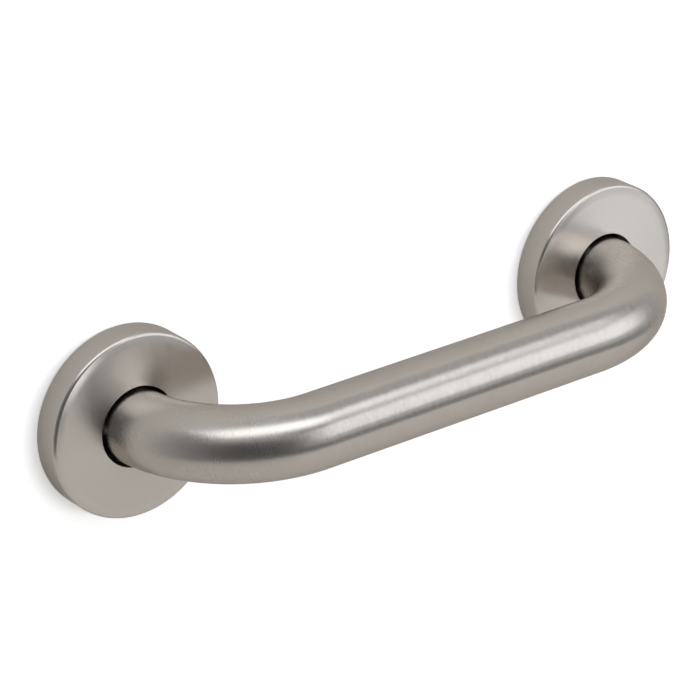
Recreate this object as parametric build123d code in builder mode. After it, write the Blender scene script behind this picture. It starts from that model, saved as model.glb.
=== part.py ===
# Wall-mounted grab bar: one bent stainless tube, welded to two round mounting plates
# that are screwed to the wall and hidden by push-on covers.
#
# Frame: +X along the grip, +Y into the wall, +Z up. The origin is in the wall plane,
# midway between the centres of the two legs. All sizes are in millimetres.

import os

from build123d import *

os.makedirs("parts", exist_ok=True)

# Driving dimensions of the tube
tube_diameter = 32.0
tube_wall = 1.2
leg_spacing = 250.0  # between the centre lines of the two legs
bend_radius = 53.0  # on the centre line
leg_beyond_weld = 4.0  # straight tube between the weld and the bend
tube_end_recess = 0.5  # keeps the tube's end off the wall

# Driving dimensions of the covers
cover_diameter = 80.5
cover_depth = 13.0
cover_wall = 0.8
cover_edge_radius = 1.8  # outside, between rim and skirt
cover_rim_width = 4.0  # the outer ring of the face, which falls away towards the skirt
cover_rim_drop = 0.45
cover_hole_clearance = 1.5  # around the tube, so that the cover passes the start of the bend
cover_hole_round = 0.3  # on the front edge of the hole

# Driving dimensions of the mounting plates
plate_thickness = 3.0
plate_clearance = 0.3  # around the plate, inside the cover's skirt
plate_chamfer = 0.6  # leads the cover on
tube_fit = 0.1  # around the tube in the plate's hole
screw_hole_diameter = 7.0
screw_hole_inset = 9.15  # from the plate's edge to the centre of a screw hole
screw_hole_count = 3
grip_clearance = 0.1  # between a grip nub and the cover's skirt
grip_nub_radius = 1.2

# Driving dimensions of the welds
weld_leg = 3.0
weld_crown = 0.3  # how far the bead swells beyond a flat face

# Sizes that follow
tube_radius = tube_diameter / 2
leg_offset = leg_spacing / 2
weld_end = plate_thickness + weld_leg
axis_to_wall = weld_end + leg_beyond_weld + bend_radius
cover_radius = cover_diameter / 2
cover_inner_radius = cover_radius - cover_wall
cover_inner_depth = cover_depth - cover_wall
cover_hole_radius = tube_radius + cover_hole_clearance
cover_rim_start = cover_radius - cover_rim_width
cover_rim_round = 0.6 * cover_rim_width**2 / cover_rim_drop  # blends the rim into the flat face
cover_rim_drop_inside = cover_rim_drop * (cover_rim_width - cover_wall) / cover_rim_width
plate_radius = cover_inner_radius - plate_clearance
screw_circle_radius = plate_radius - screw_hole_inset
grip_nub_reach = cover_inner_radius - grip_clearance

# Seen from above: distances along the wall and out from the wall
plan = Plane(origin=(0, 0, 0), x_dir=(1, 0, 0), z_dir=(0, 0, -1))

# Each side: its name, the place of its leg and the direction that points away from the grip
sides = (("left", -leg_offset, 180.0), ("right", leg_offset, 0.0))


# The tube, swept along one leg, the grip and the other leg
with BuildPart() as bar:
    with BuildLine(plan) as centre_line:
        FilletPolyline(
            (-leg_offset, tube_end_recess),
            (-leg_offset, axis_to_wall),
            (leg_offset, axis_to_wall),
            (leg_offset, tube_end_recess),
            radius=bend_radius,
        )
    with BuildSketch(Plane(origin=centre_line.line @ 0, z_dir=centre_line.line % 0)):
        Circle(tube_radius)
        Circle(tube_radius - tube_wall, mode=Mode.SUBTRACT)
    sweep()
bar.part.label = "bar"
export_step(bar.part, "parts/bar.step")


for side, leg_x, outward in sides:
    leg_axis = Axis((leg_x, 0, 0), (0, 1, 0))
    # The wall plane at this leg, facing the room, and the leg's half section seen from above
    at_wall = Plane(origin=(leg_x, 0, 0), x_dir=(1, 0, 0), z_dir=(0, -1, 0))
    half_section = Plane(origin=(leg_x, 0, 0), x_dir=(1, 0, 0), z_dir=(0, 0, -1))

    # The mounting plate: a disc with a hole for the tube, one screw hole pointing away from
    # the grip and the others evenly around, and grip nubs on its edge between the screws
    with BuildPart() as plate:
        with BuildSketch(at_wall):
            Circle(plate_radius)
            Circle(tube_radius + tube_fit, mode=Mode.SUBTRACT)
            with PolarLocations(screw_circle_radius, screw_hole_count, start_angle=outward):
                Circle(screw_hole_diameter / 2, mode=Mode.SUBTRACT)
        extrude(amount=plate_thickness)
        room_face = plate.faces().sort_by(Axis.Y)[0]
        chamfer(room_face.outer_wire().edges(), length=plate_chamfer)
        between_screws = outward + 180.0 / screw_hole_count
        with Locations(at_wall.offset(plate_thickness / 2)):
            with PolarLocations(grip_nub_reach - grip_nub_radius, screw_hole_count, between_screws):
                Sphere(grip_nub_radius)
    plate.part.label = f"mounting_plate_{side}"
    export_step(plate.part, f"parts/mounting_plate_{side}.step")

    # The weld between the leg and the front of its plate
    with BuildPart() as weld_bead:
        with BuildSketch(half_section):
            with BuildLine():
                toe = (tube_radius + weld_leg, plate_thickness)
                root = (tube_radius, plate_thickness)
                top = (tube_radius, weld_end)
                Polyline(top, root, toe)
                SagittaArc(toe, top, -weld_crown)
            make_face()
        revolve(axis=leg_axis)
    weld_bead.part.label = f"weld_bead_{side}"
    export_step(weld_bead.part, f"parts/weld_bead_{side}.step")

    # The cover: a drawn shell, open to the wall, with a hole that clears the tube
    with BuildPart() as cover:
        with BuildSketch(half_section):
            with BuildLine():
                FilletPolyline(
                    (cover_hole_radius, cover_inner_depth),
                    (cover_hole_radius, cover_depth),
                    (cover_rim_start, cover_depth),
                    (cover_radius, cover_depth - cover_rim_drop),
                    (cover_radius, 0),
                    (cover_inner_radius, 0),
                    (cover_inner_radius, cover_inner_depth - cover_rim_drop_inside),
                    (cover_rim_start, cover_inner_depth),
                    radius=(
                        0,
                        min(cover_hole_round, cover_wall / 2),
                        cover_rim_round,
                        cover_edge_radius,
                        0,
                        0,
                        max(cover_edge_radius - cover_wall, 0),
                        cover_rim_round,
                    ),
                    close=True,
                )
            make_face()
        revolve(axis=leg_axis)
    cover.part.label = f"cover_{side}"
    export_step(cover.part, f"parts/cover_{side}.step")
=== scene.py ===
# Dresses the wall-mounted grab bar: satin steel tube, push-on covers, welds and mounting plates,
# on a white wall under studio light. Metres, +X along the grip, +Y into the wall, +Z up.

import math
from collections import namedtuple

import bmesh
import bpy
from mathutils import Matrix, Vector


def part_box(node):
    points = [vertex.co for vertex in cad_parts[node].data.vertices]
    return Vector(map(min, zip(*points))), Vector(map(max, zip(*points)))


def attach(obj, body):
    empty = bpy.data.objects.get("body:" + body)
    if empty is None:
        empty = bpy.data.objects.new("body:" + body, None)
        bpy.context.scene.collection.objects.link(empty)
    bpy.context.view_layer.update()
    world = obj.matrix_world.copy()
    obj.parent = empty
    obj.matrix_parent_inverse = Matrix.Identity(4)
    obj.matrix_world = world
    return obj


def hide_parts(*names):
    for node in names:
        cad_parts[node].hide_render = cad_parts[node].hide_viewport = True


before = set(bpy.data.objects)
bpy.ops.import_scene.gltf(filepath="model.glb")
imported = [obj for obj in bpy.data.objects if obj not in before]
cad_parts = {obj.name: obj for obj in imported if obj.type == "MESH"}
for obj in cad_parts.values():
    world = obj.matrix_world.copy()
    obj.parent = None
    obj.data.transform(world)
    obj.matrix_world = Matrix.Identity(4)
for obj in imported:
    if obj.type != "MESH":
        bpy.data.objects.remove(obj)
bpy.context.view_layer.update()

MM = 0.001

# Sizes of the tube, read from its solid where the box shows them
bar_low, bar_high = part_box("bar")
TUBE_RADIUS = (bar_high.z - bar_low.z) / 2
TUBE_WALL = 1.2 * MM
TUBE_BORE = TUBE_RADIUS - TUBE_WALL
TUBE_END_ROUND = 0.2 * MM
BEND_RADIUS = 53 * MM
LEG_X = bar_high.x - TUBE_RADIUS
AXIS_Y = bar_low.y + TUBE_RADIUS
TUBE_END_Y = bar_high.y
BEND_START_Y = AXIS_Y + BEND_RADIUS
GRIP_END_X = LEG_X - BEND_RADIUS
BORE_SEAM_ANGLE = 1.5 * math.pi
BORE_SEAM_HEIGHT = 0.25 * MM
BORE_SEAM_HALF_WIDTH = 1.2 * MM

# Lengths along the tube's centre line: up one leg, along the grip and down the other leg
LEG_RUN = TUBE_END_Y - BEND_START_Y
BEND_RUN = BEND_RADIUS * math.pi / 2
GRIP_RUN = 2 * GRIP_END_X
TUBE_LENGTH = 2 * LEG_RUN + 2 * BEND_RUN + GRIP_RUN

# Sizes of the covers
cover_low, cover_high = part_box("cover_right")
COVER_RADIUS = (cover_high.z - cover_low.z) / 2
COVER_DEPTH = cover_high.y - cover_low.y
COVER_WALL = 0.8 * MM
COVER_INNER_RADIUS = COVER_RADIUS - COVER_WALL
COVER_INNER_DEPTH = COVER_DEPTH - COVER_WALL
COVER_EDGE_ROUND = 1.8 * MM
COVER_RIM_WIDTH = 4 * MM
COVER_RIM_START = COVER_RADIUS - COVER_RIM_WIDTH
COVER_RIM_DROP = 0.45 * MM
COVER_RIM_DROP_INSIDE = COVER_RIM_DROP * (1 - COVER_WALL / COVER_RIM_WIDTH)
COVER_RIM_ROUND = 0.6 * COVER_RIM_WIDTH**2 / COVER_RIM_DROP
COVER_HOLE_RADIUS = TUBE_RADIUS + 1.5 * MM
COVER_HOLE_ROUND = 0.3 * MM
COVER_SKIRT_ROUND = 0.15 * MM  # on the outside of the skirt, at the wall
COVER_INNER_ROUND = 0.1 * MM  # on the other edges of the sheet

# Sizes of the plates and welds
plate_low, plate_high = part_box("mounting_plate_right")
PLATE_THICKNESS = plate_high.y - plate_low.y
WELD_LEG = 3 * MM
WELD_CROWN = 0.3 * MM
RIPPLE_COUNT = 62
RIPPLE_HEIGHT = 0.22 * MM
RIPPLE_TRAIL = 9  # how far a ripple lags at the edges of the bead
RIPPLE_DRIFT = 0.6  # how unevenly the ripples follow each other
RIPPLE_DRIFT_COUNT = 5

# How finely the meshes are divided
TUBE_SIDES = 96
TUBE_STEP = 2 * MM
TUBE_ROUND_STEPS = 3
COVER_SIDES = 168
COVER_STEP = 2.5 * MM
COVER_ROUND_STEPS = 8
WELD_SIDES = 496
WELD_STEPS = 16
FLAT_MARGIN = 1.12  # of a rounding's reach, where the flat beside it gets a point

# Margins that tell the bore and the insides from the surfaces beside them
BORE_MARGIN = 0.05 * MM
TUBE_SATIN_DEPTH = 0.4 * MM
COVER_SKIRT_MARGIN = 0.2 * MM
COVER_FACE_MARGIN = 0.05 * MM


class Field:
    """One output of a node tree. Arithmetic on it adds Math nodes to the tree."""

    def __init__(self, tree, socket=None):
        self.tree = tree
        self.socket = socket

    def node(self, kind, settings=None, sockets=None, out=0):
        """Adds a node: its settings first, then the values or links of its sockets."""
        made = self.tree.nodes.new("ShaderNode" + kind)
        for name, value in (settings or {}).items():
            if name == "stops":
                ramp = made.color_ramp
                while len(ramp.elements) < len(value):
                    ramp.elements.new(1.0)
                for element, (position, colour) in zip(ramp.elements, value):
                    element.position = position
                    element.color = (*colour, 1.0)
            else:
                setattr(made, name, value)
        for name, value in (sockets or {}).items():
            if isinstance(value, Field):
                self.tree.links.new(value.socket, made.inputs[name])
            else:
                made.inputs[name].default_value = value
        return Field(self.tree, made.outputs[out] if made.outputs else None)

    def math(self, operation, *values):
        return self.node("Math", {"operation": operation}, dict(enumerate(values)))

    def __add__(self, other):
        return self.math("ADD", self, other)

    __radd__ = __add__

    def __sub__(self, other):
        return self.math("SUBTRACT", self, other)

    def __rsub__(self, other):
        return self.math("SUBTRACT", other, self)

    def __mul__(self, other):
        return self.math("MULTIPLY", self, other)

    __rmul__ = __mul__

    def __pow__(self, other):
        return self.math("POWER", self, other)

    def stretched(self, scale):
        """A vector times a scale along each of its three directions."""
        return self.node("VectorMath", {"operation": "MULTIPLY"}, {0: self, 1: scale})

    def grain(self, detail=2.0):
        """Noise from 0 to 1 at a vector, about one grain to each unit."""
        return self.node("TexNoise", sockets={"Vector": self, "Scale": 1.0, "Detail": detail})

    def centred(self):
        """Noise from 0 to 1, moved to lie about 0."""
        return self - 0.5

    def faded(self, share, where):
        """Noise from 0 to 1, with only a share of its contrast where another field is 1."""
        return self.centred() * (1 - (1 - share) * where) + 0.5

    def between(self, low, high):
        """0 below low, 1 above high, smooth between them."""
        return self.node(
            "MapRange",
            {"interpolation_type": "SMOOTHSTEP"},
            {"Value": self, "From Min": low, "From Max": high},
        )

    def ramp(self, stops):
        """The colour at this place between stops of (position, colour)."""
        return self.node("ValToRGB", {"stops": stops}, {"Fac": self})

    def blend(self, first, second):
        """The first colour where this is 0, the second where it is 1."""
        start, end = (c if isinstance(c, Field) else (*c, 1.0) for c in (first, second))
        # Of the Mix node's sockets, 6 and 7 take the colours, and output 2 gives one
        return self.node("Mix", {"data_type": "RGBA"}, {0: self, 6: start, 7: end}, out=2)


def new_finish(name):
    """An empty material, and a field to add its nodes from."""
    finish = bpy.data.materials.new(name)
    finish.use_nodes = True
    finish.node_tree.nodes.clear()
    return finish, Field(finish.node_tree)


EDGE_TINT = (0.75, 0.73, 0.71)
SPREAD_TURN = 0.25  # a quarter turn, so that the spread runs across the rings
TONES = (0.3, 0.7)  # the noise between which a colour goes from dark to light

# The satin finish: shares of its lines and of the cloudy polish
SATIN_CLOUD = (45.0, 60.0, 60.0)
SATIN_CLOUD_DETAIL = 3.0
BOLD_IN_TONE = 0.45
FINE_IN_TONE = 0.25
CLOUD_IN_TONE = 0.3
CLOUD_IN_POLISH = 0.6

# The bends of the tube, where the finish is smoother and more matt than on its straight run
HAIRLINES_IN_BENDS = 0.65
STREAKS_IN_BENDS = 0.2
MATT_IN_BENDS = 0.1
BEND_FADE = 25 * MM

# The mill finish, and the heat colours that the weld leaves on a plate
MILL_DARK = (0.53, 0.50, 0.475)
MILL_LIGHT = (0.62, 0.585, 0.55)
MILL_MOTTLE = (160.0, 160.0, 160.0)
MILL_LINE_DETAIL = 3.0
MILL_MOTTLE_DETAIL = 4.0
LINES_IN_TONE = 0.6
LINES_IN_RELIEF = 0.7
MILL_ROUGHNESS = 0.34
MILL_UNEVENNESS = 0.16
MILL_RELIEF = 0.02 * MM
HEAT_START = 18 * MM
HEAT_END = 27 * MM
HEAT_WANDER = 1.5 * MM
HEAT_COLOURS = (
    (0.0, (0.27, 0.26, 0.31)),
    (0.25, (0.34, 0.24, 0.21)),
    (0.55, (0.55, 0.44, 0.28)),
    (1.0, (0.61, 0.575, 0.54)),
)

# The weld bead: silver, with straw and blue patches
BEAD_PATCH = (300.0, 110.0, 110.0)
BEAD_PATCH_DETAIL = 3.0
BEAD_SPECKLE = (4000.0, 2500.0, 2500.0)
BEAD_ROUGHNESS = 0.27
PATCH_IN_POLISH = 0.2
SPECKLE_IN_POLISH = 0.1
BEAD_RELIEF = 0.01 * MM
BEAD_COLOURS = (
    (0.30, (0.35, 0.35, 0.46)),
    (0.44, (0.55, 0.47, 0.41)),
    (0.56, (0.65, 0.56, 0.42)),
    (0.70, (0.66, 0.63, 0.60)),
)


def steel_surface(at, colour, roughness, height, relief, spread=0.0):
    """Joins the shader of a bare steel surface to the material's output. A spread above 0 widens
    its reflections across rings that run round the piece's own Z."""
    bump = {"Strength": 1.0, "Distance": relief, "Height": height}
    shader = at.node(
        "BsdfPrincipled",
        sockets={
            "Base Color": colour,
            "Metallic": 1.0,
            "Roughness": roughness,
            "Specular Tint": (*EDGE_TINT, 1.0),
            "Anisotropic": spread,
            "Anisotropic Rotation": SPREAD_TURN,
            "Normal": at.node("Bump", sockets=bump),
        },
    )
    at.node("OutputMaterial", sockets={"Surface": shader})


# The lines of a brushed finish: how wide, how long and how high they are
Brushing = namedtuple("Brushing", "width length relief")


def brushed(unrolled, lines):
    """Noise drawn out into lines, across the first direction of the unrolled surface."""
    return unrolled.stretched((1 / lines.width, 1 / lines.length, 1 / lines.length)).grain()


def beyond_run(unrolled, middle, half_length):
    """0 along a straight run of the unrolled surface, and 1 well beyond its ends."""
    along = unrolled.node("SeparateXYZ", sockets={0: unrolled}, out="X") - middle
    return along.math("ABSOLUTE", along).between(half_length, half_length + BEND_FADE)


def satin_steel(name, light, dark, roughness, unevenness, hairline, streak, spread=0.0, run=None):
    """Steel brushed in one direction, with fine hairlines and broader streaks. The unevenness
    of the polish is how much its roughness changes. Beyond a straight run, given by its middle
    and half its length, the lines fade and the finish turns matt."""
    finish, at = new_finish(name)
    unrolled = at.node("Attribute", {"attribute_name": "unrolled"}, out="Vector")
    fine = brushed(unrolled, hairline)
    bold = brushed(unrolled, streak)
    if run:
        beyond = beyond_run(unrolled, *run)
        fine = fine.faded(HAIRLINES_IN_BENDS, beyond)
        bold = bold.faded(STREAKS_IN_BENDS, beyond)
        roughness = roughness + MATT_IN_BENDS * beyond
    cloud = unrolled.stretched(SATIN_CLOUD).grain(SATIN_CLOUD_DETAIL)
    tone = BOLD_IN_TONE * bold + FINE_IN_TONE * fine + CLOUD_IN_TONE * cloud
    polish = bold.centred() + CLOUD_IN_POLISH * cloud.centred()
    steel_surface(
        at,
        tone.between(*TONES).blend(dark, light),
        roughness + unevenness * polish,
        fine * (hairline.relief / MM) + bold * (streak.relief / MM),
        MM,
        spread,
    )
    return finish


def heat_tinted(place, mottle, colour):
    """The colour of a plate, with the rings that the weld's heat leaves round each leg."""
    x = place.node("SeparateXYZ", sockets={0: place}, out="X")
    z = place.node("SeparateXYZ", sockets={0: place}, out="Z")
    across = x.math("ABSOLUTE", x) - LEG_X
    from_leg = (across * across + z * z) ** 0.5 + mottle.centred() * HEAT_WANDER
    away = from_leg.between(HEAT_START, HEAT_END)
    return away.blend(away.ramp(HEAT_COLOURS), colour)


def mill_steel(name, grain_direction, welded=False):
    """Rolled steel as it leaves the mill: long faint lines, slightly mottled."""
    finish, at = new_finish(name)
    place = at.node("TexCoord", out="Object")
    lines = place.stretched(grain_direction).grain(MILL_LINE_DETAIL)
    mottle = place.stretched(MILL_MOTTLE).grain(MILL_MOTTLE_DETAIL)
    tone = LINES_IN_TONE * lines + (1 - LINES_IN_TONE) * mottle
    colour = tone.between(*TONES).blend(MILL_DARK, MILL_LIGHT)
    if welded:
        colour = heat_tinted(place, mottle, colour)
    steel_surface(
        at,
        colour,
        MILL_ROUGHNESS + MILL_UNEVENNESS * mottle.centred(),
        LINES_IN_RELIEF * lines + (1 - LINES_IN_RELIEF) * mottle,
        MILL_RELIEF,
    )
    return finish


def weld_steel(name):
    """The weld bead: bright silver with straw and blue patches, finely speckled."""
    finish, at = new_finish(name)
    unrolled = at.node("Attribute", {"attribute_name": "unrolled"}, out="Vector")
    patch = unrolled.stretched(BEAD_PATCH).grain(BEAD_PATCH_DETAIL)
    speckle = unrolled.stretched(BEAD_SPECKLE).grain()
    polish = PATCH_IN_POLISH * patch.centred() + SPECKLE_IN_POLISH * speckle.centred()
    steel_surface(at, patch.ramp(BEAD_COLOURS), BEAD_ROUGHNESS + polish, speckle, BEAD_RELIEF)
    return finish


def rounded_outline(corners, rounds, steps):
    """A closed outline through corners, each rounded by its own radius."""
    points = []
    for k, (corner, radius) in enumerate(zip(corners, rounds)):
        here = Vector(corner)
        back = (Vector(corners[k - 1]) - here).normalized()
        ahead = (Vector(corners[(k + 1) % len(corners)]) - here).normalized()
        half = back.angle(ahead) / 2
        reach = radius / math.tan(half)
        centre = here + (back + ahead).normalized() * (radius / math.sin(half))
        start = here + back * reach - centre
        finish = here + ahead * reach - centre
        turn = start.angle_signed(finish)
        # A point just outside each rounding keeps the flats beside it flat
        points.append(here + back * (reach * FLAT_MARGIN))
        for step in range(steps + 1):
            points.append(centre + Matrix.Rotation(-turn * step / steps, 2) @ start)
        points.append(here + ahead * (reach * FLAT_MARGIN))
    return points


def divided(points, longest):
    """The outline again, with its long stretches split evenly."""
    finer = []
    for point, following in zip(points, points[1:] + points[:1]):
        parts = max(1, math.ceil((following - point).length / longest))
        for part in range(parts):
            finer.append(point.lerp(following, part / parts))
    return finer


def skin(name, rings, inside=None):
    """A closed smooth mesh through rings of (place, unrolled place). Where inside says so for a
    ring, the faces after it have the second finish."""
    bm = bmesh.new()
    unrolled = bm.verts.layers.float_vector.new("unrolled")
    grid = []
    for ring in rings:
        row = []
        for place, flat in ring:
            vert = bm.verts.new(place)
            vert[unrolled] = flat
            row.append(vert)
        grid.append(row)
    around = len(grid[0])
    for k, row in enumerate(grid):
        after = grid[(k + 1) % len(grid)]
        for j in range(around):
            i = (j + 1) % around
            face = bm.faces.new((row[j], row[i], after[i], after[j]))
            face.smooth = True
            face.material_index = 1 if inside and inside[k] else 0
    bmesh.ops.recalc_face_normals(bm, faces=bm.faces)
    mesh = bpy.data.meshes.new(name)
    bm.to_mesh(mesh)
    bm.free()
    return mesh


def mount(name, mesh, finishes, body, node, place=None):
    """Puts a mesh in the scene in place of its solid, on its body."""
    piece = bpy.data.objects.new(name, mesh)
    bpy.context.scene.collection.objects.link(piece)
    for finish in finishes:
        mesh.materials.append(finish)
    if place is not None:
        piece.matrix_world = place
    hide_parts(node)
    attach(piece, body)


def at_leg(x):
    """A frame with its Z along a leg, out of the wall."""
    return Matrix(((1, 0, 0, x), (0, 0, -1, 0), (0, 1, 0, 0), (0, 0, 0, 1)))


def on_centre_line(s):
    """The point at length s along the tube, and the way out from the bend's centre there."""
    if s > TUBE_LENGTH / 2:
        point, out = on_centre_line(TUBE_LENGTH - s)
        return Vector((-point.x, point.y, 0)), Vector((-out.x, out.y, 0))
    if s < LEG_RUN:
        return Vector((-LEG_X, TUBE_END_Y - s, 0)), Vector((-1, 0, 0))
    if s < LEG_RUN + BEND_RUN:
        angle = (s - LEG_RUN) / BEND_RADIUS
        out = Vector((-math.cos(angle), -math.sin(angle), 0))
        return Vector((-GRIP_END_X, BEND_START_Y, 0)) + out * BEND_RADIUS, out
    return Vector((-GRIP_END_X + s - LEG_RUN - BEND_RUN, AXIS_Y, 0)), Vector((0, -1, 0))


def tube_mesh(name):
    corners = (
        (0, TUBE_RADIUS),
        (TUBE_LENGTH, TUBE_RADIUS),
        (TUBE_LENGTH, TUBE_BORE),
        (0, TUBE_BORE),
    )
    rounds = [TUBE_END_ROUND] * len(corners)
    outline = divided(rounded_outline(corners, rounds, TUBE_ROUND_STEPS), TUBE_STEP)
    rings = []
    for s, radius in outline:
        point, out = on_centre_line(min(max(s, 0), TUBE_LENGTH))
        ring = []
        for j in range(TUBE_SIDES):
            angle = 2 * math.pi * j / TUBE_SIDES
            reach = radius
            if radius < TUBE_BORE + BORE_MARGIN:
                # The tube's own lengthwise seam stands up a little inside the bore
                off_seam = (angle - BORE_SEAM_ANGLE) * TUBE_BORE / BORE_SEAM_HALF_WIDTH
                reach -= BORE_SEAM_HEIGHT * math.exp(-off_seam * off_seam)
            across, up = reach * math.cos(angle), reach * math.sin(angle)
            ring.append((point + out * across + Vector((0, 0, up)), (s, across, up)))
        rings.append(ring)
    inside = [radius < TUBE_RADIUS - TUBE_SATIN_DEPTH for _, radius in outline]
    return skin(name, rings, inside)


def turned(outline, around, swell=None):
    """Rings of an outline (radius, height) turned about a leg. The length along the outline is
    the first unrolled direction. A swell gives a point its place by its number and angle."""
    rings = []
    length = 0.0
    for k, point in enumerate(outline):
        length += (point - outline[k - 1]).length if k else 0.0
        ring = []
        for j in range(around):
            angle = 2 * math.pi * j / around
            radius, height = swell(k, angle, point) if swell else point
            x, y = radius * math.cos(angle), radius * math.sin(angle)
            ring.append((Vector((x, y, height)), (length, x, y)))
        rings.append(ring)
    return rings


def cover_mesh(name):
    corners_and_rounds = (
        ((COVER_HOLE_RADIUS, COVER_INNER_DEPTH), COVER_INNER_ROUND),
        ((COVER_HOLE_RADIUS, COVER_DEPTH), COVER_HOLE_ROUND),
        ((COVER_RIM_START, COVER_DEPTH), COVER_RIM_ROUND),
        ((COVER_RADIUS, COVER_DEPTH - COVER_RIM_DROP), COVER_EDGE_ROUND),
        ((COVER_RADIUS, 0), COVER_SKIRT_ROUND),
        ((COVER_INNER_RADIUS, 0), COVER_INNER_ROUND),
        (
            (COVER_INNER_RADIUS, COVER_INNER_DEPTH - COVER_RIM_DROP_INSIDE),
            COVER_EDGE_ROUND - COVER_WALL,
        ),
        ((COVER_RIM_START, COVER_INNER_DEPTH), COVER_RIM_ROUND),
    )
    corners, rounds = zip(*corners_and_rounds)
    outline = divided(rounded_outline(corners, rounds, COVER_ROUND_STEPS), COVER_STEP)
    inside = []
    for radius, height in outline:
        within_skirt = radius < COVER_INNER_RADIUS + COVER_SKIRT_MARGIN
        under_face = height < COVER_INNER_DEPTH + COVER_FACE_MARGIN
        inside.append(within_skirt and under_face)
    return skin(name, turned(outline, COVER_SIDES), inside)


def crowned(part):
    """0 at both edges of the bead, 1 midway between them."""
    return 4 * part * (1 - part)


def weld_mesh(name):
    root = Vector((TUBE_RADIUS, PLATE_THICKNESS))
    toe = root + Vector((WELD_LEG, 0))
    top = root + Vector((0, WELD_LEG))
    out = Vector((1, 1)).normalized()
    outline = [root]
    for step in range(WELD_STEPS + 1):
        part = step / WELD_STEPS
        outline.append(toe.lerp(top, part) + out * (WELD_CROWN * crowned(part)))

    def rippled(k, angle, point):
        if k == 0:
            return point
        part = (k - 1) / WELD_STEPS
        # Each ripple is a crescent that trails at both edges of the bead
        trail = RIPPLE_TRAIL * (part - 0.5) ** 2
        drift = RIPPLE_DRIFT * math.sin(RIPPLE_DRIFT_COUNT * angle)
        scallop = abs(math.sin((RIPPLE_COUNT * angle + trail + drift) / 2)) - 1
        return point + out * (RIPPLE_HEIGHT * crowned(part) * scallop)

    return skin(name, turned(outline, WELD_SIDES, rippled))


bar_finish = satin_steel(
    "hairline_satin_steel",
    light=(0.642, 0.608, 0.572),
    dark=(0.582, 0.547, 0.512),
    roughness=0.17,
    unevenness=0.1,
    hairline=Brushing(width=0.1 * MM, length=5 * MM, relief=0.045 * MM),
    streak=Brushing(width=0.7 * MM, length=7 * MM, relief=0.009 * MM),
    run=(TUBE_LENGTH / 2, GRIP_END_X),
)
cover_finish = satin_steel(
    "ring_brushed_cover_steel",
    light=(0.682, 0.648, 0.612),
    dark=(0.655, 0.622, 0.587),
    roughness=0.25,
    unevenness=0.03,
    hairline=Brushing(width=0.15 * MM, length=14 * MM, relief=0.0003 * MM),
    streak=Brushing(width=0.9 * MM, length=40 * MM, relief=0.0004 * MM),
    spread=0.65,
)
bore_finish = mill_steel("drawn_tube_bore", grain_direction=(3000.0, 60.0, 3000.0))
cover_inside_finish = mill_steel("drawn_cover_inside", grain_direction=(900.0, 900.0, 900.0))
plate_finish = mill_steel(
    "rolled_plate_steel", grain_direction=(2600.0, 2600.0, 60.0), welded=True
)
bead_finish = weld_steel("rippled_weld_bead")

mount(
    "bar_tube",
    tube_mesh("bar_tube"),
    [bar_finish, bore_finish],
    "bar_and_plates",
    "bar",
)
for side, leg_x in (("left", -LEG_X), ("right", LEG_X)):
    mount(
        f"cover_{side}_shell",
        cover_mesh(f"cover_{side}_shell"),
        [cover_finish, cover_inside_finish],
        f"{side}_cover",
        f"cover_{side}",
        at_leg(leg_x),
    )
    mount(
        f"weld_{side}_ripples",
        weld_mesh(f"weld_{side}_ripples"),
        [bead_finish],
        "bar_and_plates",
        f"weld_bead_{side}",
        at_leg(leg_x),
    )
    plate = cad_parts[f"mounting_plate_{side}"]
    plate.data.materials.clear()
    plate.data.materials.append(plate_finish)


# The studio: a white wall and floor, soft lamps, and a dark screen round the camera's side
WHITE = (1.0, 1.0, 1.0, 1.0)
COOL_WHITE = (0.98, 1.0, 1.02)
PAPER = (0.87, 0.84, 0.805)
PAPER_GLOW = 0.56
WALL_PAPER = (0.85, 0.85, 0.85)
WALL_GLOW = 0.35
ROOM_LIGHT = 0.36
ROOM_WHITE = 0.5  # how bright the room is in the steel
STEEL_WHITE = 0.62  # how bright the lamps and the screen are in the steel

WALL_GAP = 0.4 * MM
WALL_SIDE = 1.6
WALL_TOP = 1.7
WALL_OPENING = 38.5 * MM
WALL_OPENING_SIDES = 64
FLOOR_Z = -0.36
FLOOR_CENTRE_X = 0.07
FLOOR_RADIUS = 0.9
FLOOR_STEPS = 48
SCREEN_RADIUS = 1.9
SCREEN_LOW = -0.95
SCREEN_HIGH = 1.95
SCREEN_PARTS = 8  # from one shade to the next
# Brightness of the screen by azimuth, from the left end to the right end
SCREEN_SHADES = (
    (-115, 0.66),
    (-85, 0.53),
    (-65, 0.33),
    (-45, 0.16),
    (-25, 0.13),
    (-8, 0.18),
    (10, 0.32),
    (28, 0.48),
    (60, 0.5),
    (88, 0.65),
)


def seen_rays(at, by_camera, in_steel, as_light):
    """One strength for the camera and clear pieces, one for reflections and one for lighting."""
    camera = at.node("LightPath", out="Is Camera Ray")
    glossy = at.node("LightPath", out="Is Glossy Ray")
    clear = at.node("LightPath", out="Is Transmission Ray")
    direct = camera.math("MAXIMUM", camera, clear)
    mirrored = glossy * (1 - direct)
    return direct * (by_camera - as_light) + mirrored * (in_steel - as_light) + as_light


def paper_finish(name, colour, glow_seen):
    """Paper that keeps shadows and glows a little to the camera. Its back is clear."""
    finish, at = new_finish(name)
    strength = seen_rays(at, glow_seen, 0.0, 0.0)
    glow = at.node("Emission", sockets={"Color": WHITE, "Strength": strength})
    lit = at.node("BsdfDiffuse", sockets={"Color": (*colour, 1.0)})
    front = at.node("AddShader", sockets={0: lit, 1: glow})
    behind = at.node("NewGeometry", out="Backfacing")
    clear = at.node("BsdfTransparent")
    shader = at.node("MixShader", sockets={0: behind, 1: front, 2: clear})
    at.node("OutputMaterial", sockets={"Surface": shader})
    return finish


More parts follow.
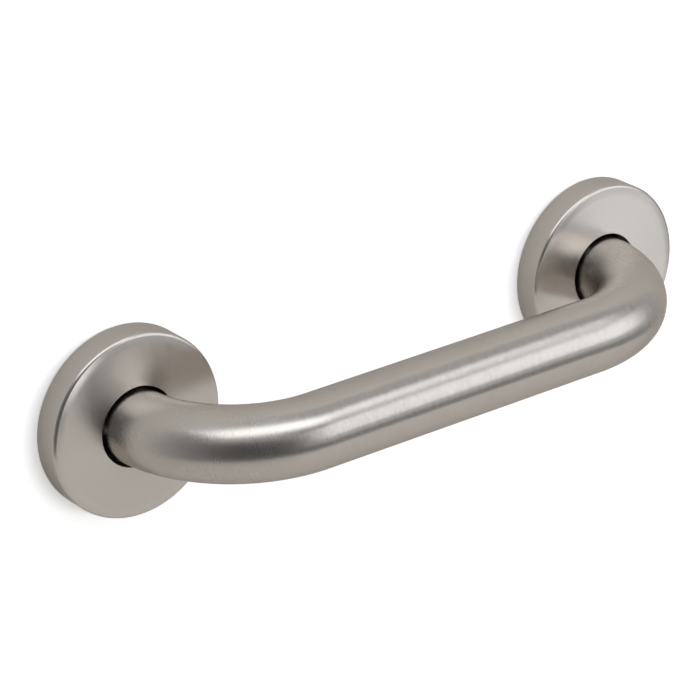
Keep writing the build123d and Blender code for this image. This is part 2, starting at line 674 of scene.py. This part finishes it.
def stage_piece(name, bm, finish):
    mesh = bpy.data.meshes.new(name)
    bm.to_mesh(mesh)
    bm.free()
    mesh.materials.append(finish)
    piece = bpy.data.objects.new(name, mesh)
    bpy.context.scene.collection.objects.link(piece)
    return piece


def build_wall(name, finish):
    """The wall, open behind each cover, where the plates close it."""
    bm = bmesh.new()
    loops = [
        [
            (-WALL_SIDE, FLOOR_Z),
            (WALL_SIDE, FLOOR_Z),
            (WALL_SIDE, WALL_TOP),
            (-WALL_SIDE, WALL_TOP),
        ]
    ]
    turns = [2 * math.pi * k / WALL_OPENING_SIDES for k in range(WALL_OPENING_SIDES)]
    for x in (-LEG_X, LEG_X):
        loops.append([(x + WALL_OPENING * math.cos(t), WALL_OPENING * math.sin(t)) for t in turns])
    edges = []
    for loop in loops:
        verts = [bm.verts.new((x, WALL_GAP, z)) for x, z in loop]
        edges += [bm.edges.new((verts[k - 1], verts[k])) for k in range(len(verts))]
    bmesh.ops.triangle_fill(bm, edges=edges, use_beauty=True, normal=(0, -1, 0))
    for face in bm.faces:
        face.normal_update()
        if face.normal.y > 0:
            face.normal_flip()
    return stage_piece(name, bm, finish)


def build_floor(name, finish):
    """A half disc in front of the wall."""
    bm = bmesh.new()
    rim = []
    for step in range(FLOOR_STEPS + 1):
        turn = math.pi * step / FLOOR_STEPS
        x = FLOOR_CENTRE_X - FLOOR_RADIUS * math.cos(turn)
        y = WALL_GAP - FLOOR_RADIUS * math.sin(turn)
        rim.append(bm.verts.new((x, y, FLOOR_Z)))
    bm.faces.new(rim)
    stage_piece(name, bm, finish)


def build_screen(name):
    """The dark side of the studio, which the steel reflects and no camera sees."""
    finish, at = new_finish("dark_studio_screen")
    shade = at.node("Attribute", {"attribute_name": "shade"}, out="Fac")
    strength = shade * seen_rays(at, 1.0, STEEL_WHITE, 0.0)
    glow = at.node("Emission", sockets={"Strength": strength})
    at.node("OutputMaterial", sockets={"Surface": glow})
    bm = bmesh.new()
    shade_layer = bm.verts.layers.float.new("shade")
    columns = []
    for (start, low), (end, high) in zip(SCREEN_SHADES, SCREEN_SHADES[1:]):
        is_last = end == SCREEN_SHADES[-1][0]
        for part in range(SCREEN_PARTS + is_last):
            along = part / SCREEN_PARTS
            angle = math.radians(start + (end - start) * along)
            x, y = SCREEN_RADIUS * math.sin(angle), -SCREEN_RADIUS * math.cos(angle)
            column = []
            for height in (SCREEN_LOW, SCREEN_HIGH):
                vert = bm.verts.new((x, y, height))
                vert[shade_layer] = low + (high - low) * along
                column.append(vert)
            columns.append(column)
    for (low_a, high_a), (low_b, high_b) in zip(columns, columns[1:]):
        bm.faces.new((low_a, low_b, high_b, high_a))
    screen = stage_piece(name, bm, finish)
    screen.visible_camera = False
    screen.visible_shadow = False
    screen.visible_diffuse = False


# There are two walls in one place, one for the steel and one for the camera, so that each has
# its own light
studio_paper = paper_finish("warm_studio_paper", PAPER, PAPER_GLOW)
wall_in_steel = build_wall("wall_in_steel", studio_paper)
wall_in_steel.visible_camera = False
seen_wall = build_wall("seen_wall", paper_finish("white_wall_paper", WALL_PAPER, WALL_GLOW))
seen_wall.visible_glossy = False
seen_wall.visible_diffuse = False
seen_wall.visible_shadow = False
build_floor("studio_floor", studio_paper)
build_screen("dark_screen")


def toward(start, azimuth, elevation, distance):
    """A point in the room, from a start. Azimuth 0 is straight out of the wall, and positive
    ones are to the right."""
    a, e = math.radians(azimuth), math.radians(elevation)
    out = Vector((math.sin(a) * math.cos(e), -math.cos(a) * math.cos(e), math.sin(e)))
    return start + out * distance


def soft_lamp(name, target, azimuth, elevation, distance, width, height, radiance):
    """A rectangular soft lamp that faces a target, set by the brightness of its face."""
    light = bpy.data.lights.new(name, "AREA")
    light.shape = "RECTANGLE"
    light.size = width
    light.size_y = height
    light.energy = math.pi * width * height * radiance * STEEL_WHITE
    light.color = COOL_WHITE
    lamp = bpy.data.objects.new(name, light)
    bpy.context.scene.collection.objects.link(lamp)
    place = toward(target, azimuth, elevation, distance)
    turn = (place - target).to_track_quat("Z", "Y").to_matrix().to_4x4()
    lamp.matrix_world = Matrix.Translation(place) @ turn
    lamp.visible_camera = False
    return lamp


def group_of(name, pieces):
    """A named group of pieces, for a lamp that is limited to them."""
    group = bpy.data.collections.new(name)
    for piece in pieces:
        group.objects.link(piece)
    return group


# The lamps of the room: azimuth, elevation and distance from the middle of the bar, then the
# width, height and brightness of the lamp's face
BAR_MIDDLE = Vector((0, AXIS_Y / 2, 0))
ROOM_LAMPS = {
    "upper_lamp": (-14, 57, 1.25, 1.6, 0.5, 2.5),
    "upper_lamp_edge": (-30, 36, 1.25, 1.3, 0.42, 0.4),
    "upper_right_lamp": (52, 41.5, 1.2, 0.5, 0.38, 1.0),
    "right_lamp": (42, 16, 1.2, 1.1, 0.66, 1.25),
    "right_lamp_edge": (38, 11, 1.25, 1.75, 0.95, 0.45),
}
for lamp_name, lamp_setting in ROOM_LAMPS.items():
    soft_lamp(lamp_name, BAR_MIDDLE, *lamp_setting)

# A small lamp for each cover, which faces a spot on it and lights nothing else
LEFT_SPOT = Vector((-LEG_X - 22 * MM, -COVER_DEPTH, 18 * MM))
RIGHT_SPOT = Vector((LEG_X + 18 * MM, -COVER_DEPTH, 18 * MM))
COVER_LAMPS = {
    "left": (LEFT_SPOT, 14, -9, 0.4, 0.1, 0.1, 3.0),
    "right": (RIGHT_SPOT, 42, -21, 0.15, 0.08, 0.08, 0.82),
}
cover_shells = {side: bpy.data.objects[f"cover_{side}_shell"] for side in COVER_LAMPS}
for side, lamp_setting in COVER_LAMPS.items():
    lamp = soft_lamp(f"{side}_cover_lamp", *lamp_setting)
    lit_cover = group_of(f"lit_by_{side}_cover_lamp", [cover_shells[side]])
    lamp.light_linking.receiver_collection = lit_cover

# A lamp for the camera's wall alone, where only the covers cast its shadow
WALL_LAMP = (17, 3, 3.0, 1.6, 0.5, 19.0)
wall_lamp = soft_lamp("wall_lamp", BAR_MIDDLE, *WALL_LAMP)
wall_lamp.light_linking.receiver_collection = group_of("lit_by_wall_lamp", [seen_wall])
shading = group_of("shading_the_wall", cover_shells.values())
wall_lamp.light_linking.blocker_collection = shading

world = bpy.data.worlds.new("studio_room")
world.use_nodes = True
world.node_tree.nodes.clear()
bpy.context.scene.world = world
room = Field(world.node_tree)
room_strength = seen_rays(room, 1.0, ROOM_WHITE, ROOM_LIGHT)
room_glow = room.node("Background", sockets={"Color": WHITE, "Strength": room_strength})
room.node("OutputWorld", sockets={"Surface": room_glow})

# The camera, from the photograph's viewing angle
VIEW_AZIMUTH = math.radians(-36.259)
VIEW_ELEVATION = math.radians(24.02)
VIEW_ROLL = math.radians(-1.711)
VIEW_DISTANCE = 1.33925
VIEW_TARGET = Vector((-0.02665, -0.02383, 0.01007))
VIEW_LENS = 165.70
SENSOR_WIDTH = 36.0

back = Vector(
    (
        math.sin(VIEW_AZIMUTH) * math.cos(VIEW_ELEVATION),
        -math.cos(VIEW_AZIMUTH) * math.cos(VIEW_ELEVATION),
        math.sin(VIEW_ELEVATION),
    )
)
level = Vector((math.cos(VIEW_AZIMUTH), math.sin(VIEW_AZIMUTH), 0))
upright = back.cross(level)
right = level * math.cos(VIEW_ROLL) + upright * math.sin(VIEW_ROLL)
upward = upright * math.cos(VIEW_ROLL) - level * math.sin(VIEW_ROLL)
camera_data = bpy.data.cameras.new("camera")
camera_data.sensor_width = SENSOR_WIDTH
camera_data.lens = VIEW_LENS
camera = bpy.data.objects.new("camera", camera_data)
bpy.context.scene.collection.objects.link(camera)
turned_to_view = Matrix((right, upward, back)).transposed().to_4x4()
camera.matrix_world = Matrix.Translation(VIEW_TARGET + back * VIEW_DISTANCE) @ turned_to_view
bpy.context.scene.camera = camera

bpy.context.scene.view_settings.view_transform = "Standard"

bpy.context.view_layer.update()
